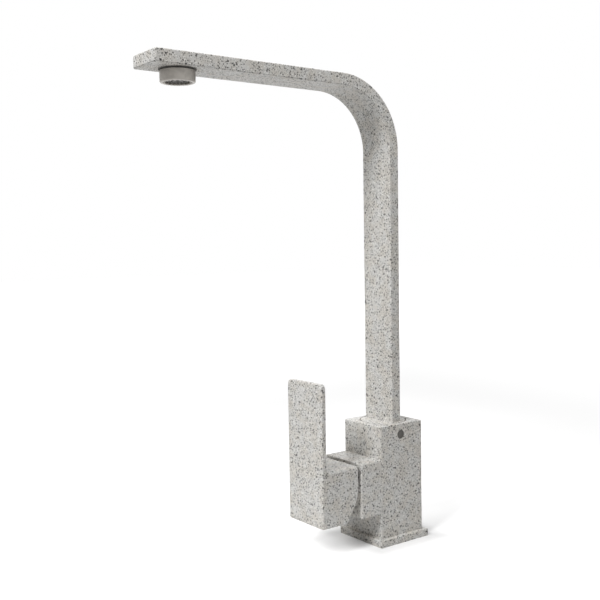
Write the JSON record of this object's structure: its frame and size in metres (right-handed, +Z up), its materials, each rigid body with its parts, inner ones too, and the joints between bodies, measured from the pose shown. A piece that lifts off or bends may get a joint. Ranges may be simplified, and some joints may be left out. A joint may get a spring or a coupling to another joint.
{
  "type": "kitchen mixer tap",
  "caption": "Single-lever kitchen mixer with a square column, a flat L-shaped swivel spout with aerator, and a flat front lever that sets flow and temperature.",
  "frame": {"origin": "centre of the base plate's underside, on the worktop, under the middle of the column", "axes": "+Z up, the spout and the lever point along -Y, +X is the user's right-hand side"},
  "size_m": [0.052, 0.2374, 0.3735],
  "materials": {
    "granite_coat": "matte",
    "satin_ring": "satin",
    "bare_brass": "satin",
    "bare_steel": "satin",
    "disc_ceramic": "satin",
    "white_plastic": "matte",
    "dark_plastic": "matte",
    "black_rubber": "matte"
  },
  "bodies": {
    "mixer": {"mixer_body": "granite_coat", "base_plate": "granite_coat", "base_seal": "black_rubber", "cartridge_housing": "white_plastic", "cartridge_base": "white_plastic", "port_seals": "black_rubber", "fixed_disc": "disc_ceramic", "cartridge_nut": "bare_brass", "collar_ring": "granite_coat", "spout_lock_screw": "bare_steel", "screw_hole_plug": "dark_plastic"},
    "spout": {"spout_tube": "granite_coat", "spout_disc": "granite_coat", "spout_spigot": "bare_brass", "spigot_o_rings": "black_rubber", "glide_rings": "white_plastic", "outlet_bush": "bare_brass", "outlet_gasket": "black_rubber", "aerator_ring": "satin_ring", "aerator_core": "dark_plastic", "aerator_screen": "bare_steel", "aerator_washer": "black_rubber"},
    "turret": {"stem_carrier": "white_plastic", "pivot_pin": "bare_steel"},
    "lever": {"handle": "granite_coat", "lever_stem": "bare_steel", "handle_grub_screw": "bare_steel", "handle_screw_cap": "dark_plastic"},
    "slide_disc": {"moving_disc": "disc_ceramic", "disc_carrier": "white_plastic"}
  },
  "joints": [
    {"name": "spout_swivel", "type": "hinge", "parent": "mixer", "child": "spout", "pos_m": [0, 0, 0.0825], "axis": [0, 0, 1], "continuous": true},
    {"name": "temperature_turn", "type": "hinge", "parent": "mixer", "child": "turret", "pos_m": [0, -0.04, 0.0482], "axis": [0, 1, 0], "range_deg": [-45, 45]},
    {"name": "flow_lift", "type": "hinge", "parent": "turret", "child": "lever", "pos_m": [0, -0.04, 0.0482], "axis": [1, 0, 0], "range_deg": [0, 25]},
    {"name": "disc_slide", "type": "slide", "parent": "turret", "child": "slide_disc", "axis": [0, 0, 1], "range_m": [0, 0.0054]}
  ],
  "couplings": [
    {"joint": "disc_slide", "follows": "flow_lift", "m_per_rad": 0.012204}
  ]
}
